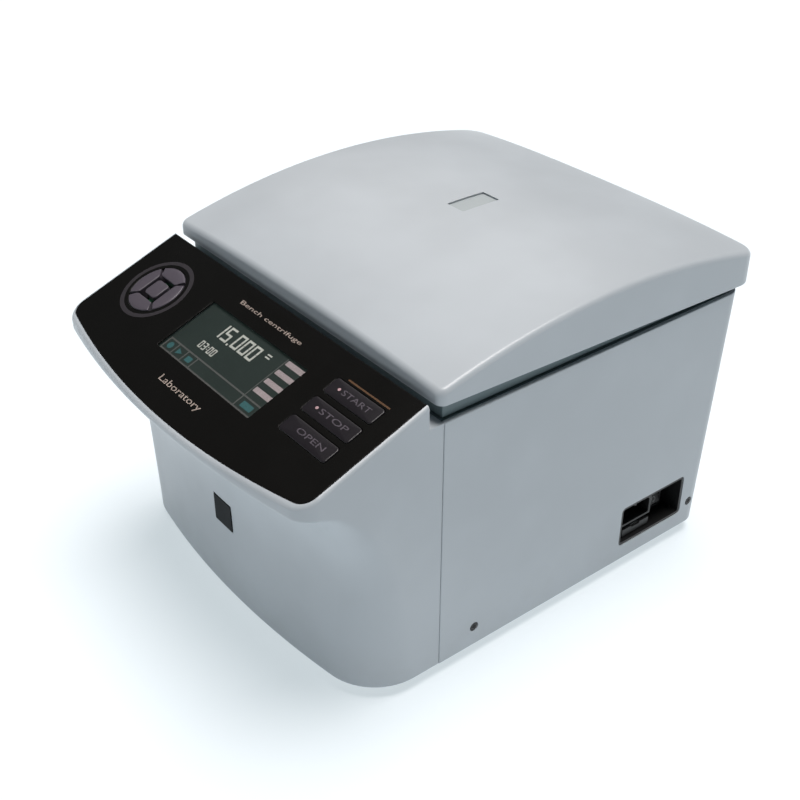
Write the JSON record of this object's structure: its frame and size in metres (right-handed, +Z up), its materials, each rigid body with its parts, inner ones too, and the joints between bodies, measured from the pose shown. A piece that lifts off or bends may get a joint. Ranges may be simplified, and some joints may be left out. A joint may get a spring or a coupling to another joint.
{
  "type": "laboratory centrifuge",
  "caption": "Compact bench-top laboratory microcentrifuge with a rounded light grey casing, a sloping black control console and an arched hinged lid over the rotor chamber.",
  "frame": {"origin": "on the bench under the middle of the machine's bounding box", "axes": "+X to the right as seen from the console, +Y to the rear, +Z up"},
  "size_m": [0.254, 0.3368, 0.2148],
  "materials": {
    "casing": "satin light grey moulded plastic",
    "inner_plastic": "satin mid grey moulded plastic",
    "gloss_black": "glossy black membrane",
    "key_plastic": "dark grey key caps",
    "black_plastic": "satin black moulded plastic",
    "display_pane": "tinted clear pane",
    "clear_pane": "clear frosted pane",
    "stainless": "brushed stainless steel",
    "zinc_steel": "zinc plated sheet steel",
    "aluminium": "anodised aluminium",
    "rubber": "black rubber",
    "circuit_board": "green circuit board"
  },
  "bodies": {
    "base": {"base_pan": "zinc_steel", "front_cover": "casing", "body_cover": "casing", "foot_front_left": "rubber", "foot_front_right": "rubber", "foot_rear_left": "rubber", "foot_rear_right": "rubber", "side_screw_front_left": "black_plastic", "side_screw_front_right": "black_plastic", "side_screw_rear_left": "black_plastic", "side_screw_rear_right": "black_plastic", "front_badge": "gloss_black", "control_overlay": "gloss_black", "display_window": "display_pane", "display_module": "black_plastic", "control_board": "circuit_board", "top_deck": "inner_plastic", "chamber_bowl": "stainless", "chamber_gasket": "rubber", "shaft_seal": "rubber", "latch_housing": "black_plastic", "motor_damper_1": "rubber", "motor_damper_2": "rubber", "motor_damper_3": "rubber", "motor_mount_plate": "zinc_steel", "motor_housing": "aluminium", "upper_bearing": "stainless", "hinge_bracket_left": "zinc_steel", "hinge_bracket_right": "zinc_steel", "hinge_pin_left": "stainless", "hinge_pin_right": "stainless", "hinge_spring_left": "stainless", "hinge_spring_right": "stainless", "fan_frame": "black_plastic", "drive_board": "circuit_board", "power_entry_tray": "black_plastic", "mains_inlet": "black_plastic", "switch_housing": "black_plastic"},
    "lid": {"lid_shell": "casing", "lid_liner": "inner_plastic", "lid_sight_window": "clear_pane", "lid_striker": "stainless", "lid_hinge_arm_left": "zinc_steel", "lid_hinge_arm_right": "zinc_steel"},
    "rotor_group": {"motor_shaft": "stainless", "rotor": "aluminium", "rotor_lid": "aluminium"},
    "lid_knob": {"rotor_knob": "black_plastic"},
    "fan_wheel": {"fan_rotor": "black_plastic"},
    "bolt": {"latch_bolt": "stainless"},
    "rocker": {"rocker_switch": "black_plastic"},
    "drawer": {"fuse_drawer": "black_plastic"},
    "up_key": {"key_up": "key_plastic"},
    "down_key": {"key_down": "key_plastic"},
    "left_key": {"key_left": "key_plastic"},
    "right_key": {"key_right": "key_plastic"},
    "enter_key": {"key_enter": "key_plastic"},
    "start_key": {"key_start": "key_plastic"},
    "stop_key": {"key_stop": "key_plastic"},
    "open_key": {"key_open": "key_plastic"}
  },
  "joints": [
    {"name": "lid_hinge", "type": "hinge", "parent": "base", "child": "lid", "pos_m": [0, 0.161, 0.184], "axis": [-1, 0, 0], "range_deg": [0, 75]},
    {"name": "rotor_spin", "type": "hinge", "parent": "base", "child": "rotor_group", "pos_m": [0, 0.054, 0.12], "axis": [0, 0, 1], "continuous": true},
    {"name": "knob_turn", "type": "hinge", "parent": "rotor_group", "child": "lid_knob", "pos_m": [0, 0.054, 0.16], "axis": [0, 0, 1], "range_deg": [0, 90]},
    {"name": "fan_spin", "type": "hinge", "parent": "base", "child": "fan_wheel", "pos_m": [-0.06, 0.14, 0.05], "axis": [0, 1, 0], "continuous": true},
    {"name": "latch_slide", "type": "slide", "parent": "base", "child": "bolt", "axis": [-1, 0, 0], "range_m": [0, 0.008]},
    {"name": "power_rocker", "type": "hinge", "parent": "base", "child": "rocker", "pos_m": [0.108, 0.1185, 0.0345], "axis": [0, 1, 0], "range_deg": [0, 20]},
    {"name": "fuse_drawer_slide", "type": "slide", "parent": "base", "child": "drawer", "axis": [1, 0, 0], "range_m": [0, 0.012]},
    {"name": "up_press", "type": "slide", "parent": "base", "child": "up_key", "axis": [0, 0.3551, -0.9348], "range_m": [0, 0.0008], "stiffness_N_per_m": 700},
    {"name": "down_press", "type": "slide", "parent": "base", "child": "down_key", "axis": [0, 0.3551, -0.9348], "range_m": [0, 0.0008], "stiffness_N_per_m": 700},
    {"name": "left_press", "type": "slide", "parent": "base", "child": "left_key", "axis": [0, 0.3551, -0.9348], "range_m": [0, 0.0008], "stiffness_N_per_m": 700},
    {"name": "right_press", "type": "slide", "parent": "base", "child": "right_key", "axis": [0, 0.3551, -0.9348], "range_m": [0, 0.0008], "stiffness_N_per_m": 700},
    {"name": "enter_press", "type": "slide", "parent": "base", "child": "enter_key", "axis": [0, 0.3551, -0.9348], "range_m": [0, 0.0008], "stiffness_N_per_m": 700},
    {"name": "start_press", "type": "slide", "parent": "base", "child": "start_key", "axis": [0, 0.3551, -0.9348], "range_m": [0, 0.0008], "stiffness_N_per_m": 700},
    {"name": "stop_press", "type": "slide", "parent": "base", "child": "stop_key", "axis": [0, 0.3551, -0.9348], "range_m": [0, 0.0008], "stiffness_N_per_m": 700},
    {"name": "open_press", "type": "slide", "parent": "base", "child": "open_key", "axis": [0, 0.3551, -0.9348], "range_m": [0, 0.0008], "stiffness_N_per_m": 700}
  ]
}
